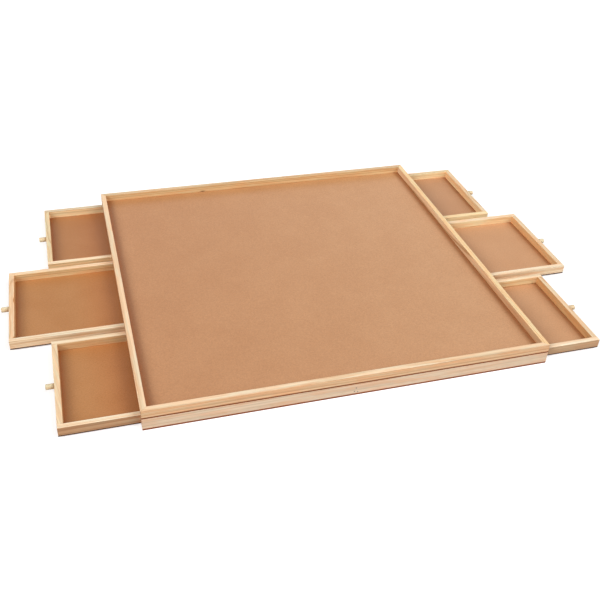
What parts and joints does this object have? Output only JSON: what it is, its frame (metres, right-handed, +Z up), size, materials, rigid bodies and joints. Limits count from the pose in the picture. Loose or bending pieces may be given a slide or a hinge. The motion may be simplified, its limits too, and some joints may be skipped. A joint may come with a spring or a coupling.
{
  "type": "jigsaw puzzle board with drawers",
  "caption": "Flat square wooden puzzle board: a rimmed hardboard work tray on top of shallow sorting drawers that slide out to the left and right by dowel knobs",
  "frame": {"origin": "middle of the base panel's underside, the face it lies on", "axes": "+X to the right, the way the right-hand drawers pull out; +Y to the back; +Z up"},
  "size_m": [1.3955, 0.889, 0.0508],
  "materials": {
    "pine": "sanded bare pine, satin",
    "hardboard": "smooth brown hardboard",
    "dowel": "sanded bare dowel",
    "steel_brad": "dull steel"
  },
  "bodies": {
    "board": {"base_panel": "hardboard", "front_rail": "pine", "back_rail": "pine", "centre_spine": "pine", "divider_left_front": "pine", "divider_left_back": "pine", "divider_right_front": "pine", "divider_right_back": "pine", "work_panel": "hardboard", "rim_front": "pine", "rim_back": "pine", "rim_left": "pine", "rim_right": "pine", "base_brads": "steel_brad", "front_rail_brads": "steel_brad", "back_rail_brads": "steel_brad"},
    "drawer_left_front": {"drawer_left_front_bottom": "hardboard", "drawer_left_front_front_side": "pine", "drawer_left_front_back_side": "pine", "drawer_left_front_face": "pine", "drawer_left_front_inner_end": "pine", "drawer_left_front_knob": "dowel", "drawer_left_front_brads": "steel_brad"},
    "drawer_left_middle": {"drawer_left_middle_bottom": "hardboard", "drawer_left_middle_front_side": "pine", "drawer_left_middle_back_side": "pine", "drawer_left_middle_face": "pine", "drawer_left_middle_inner_end": "pine", "drawer_left_middle_knob": "dowel", "drawer_left_middle_brads": "steel_brad"},
    "drawer_left_back": {"drawer_left_back_bottom": "hardboard", "drawer_left_back_front_side": "pine", "drawer_left_back_back_side": "pine", "drawer_left_back_face": "pine", "drawer_left_back_inner_end": "pine", "drawer_left_back_knob": "dowel", "drawer_left_back_brads": "steel_brad"},
    "drawer_right_front": {"drawer_right_front_bottom": "hardboard", "drawer_right_front_front_side": "pine", "drawer_right_front_back_side": "pine", "drawer_right_front_face": "pine", "drawer_right_front_inner_end": "pine", "drawer_right_front_knob": "dowel", "drawer_right_front_brads": "steel_brad"},
    "drawer_right_middle": {"drawer_right_middle_bottom": "hardboard", "drawer_right_middle_front_side": "pine", "drawer_right_middle_back_side": "pine", "drawer_right_middle_face": "pine", "drawer_right_middle_inner_end": "pine", "drawer_right_middle_knob": "dowel", "drawer_right_middle_brads": "steel_brad"},
    "drawer_right_back": {"drawer_right_back_bottom": "hardboard", "drawer_right_back_front_side": "pine", "drawer_right_back_back_side": "pine", "drawer_right_back_face": "pine", "drawer_right_back_inner_end": "pine", "drawer_right_back_knob": "dowel", "drawer_right_back_brads": "steel_brad"}
  },
  "joints": [
    {"name": "drawer_left_front_slide", "type": "slide", "parent": "board", "child": "drawer_left_front", "axis": [-1, 0, 0], "range_m": [-0.1586, 0.2159]},
    {"name": "drawer_left_middle_slide", "type": "slide", "parent": "board", "child": "drawer_left_middle", "axis": [-1, 0, 0], "range_m": [-0.2465, 0.128]},
    {"name": "drawer_left_back_slide", "type": "slide", "parent": "board", "child": "drawer_left_back", "axis": [-1, 0, 0], "range_m": [-0.1545, 0.22]},
    {"name": "drawer_right_front_slide", "type": "slide", "parent": "board", "child": "drawer_right_front", "axis": [1, 0, 0], "range_m": [-0.142, 0.2325]},
    {"name": "drawer_right_middle_slide", "type": "slide", "parent": "board", "child": "drawer_right_middle", "axis": [1, 0, 0], "range_m": [-0.224, 0.1505]},
    {"name": "drawer_right_back_slide", "type": "slide", "parent": "board", "child": "drawer_right_back", "axis": [1, 0, 0], "range_m": [-0.153, 0.2215]}
  ]
}
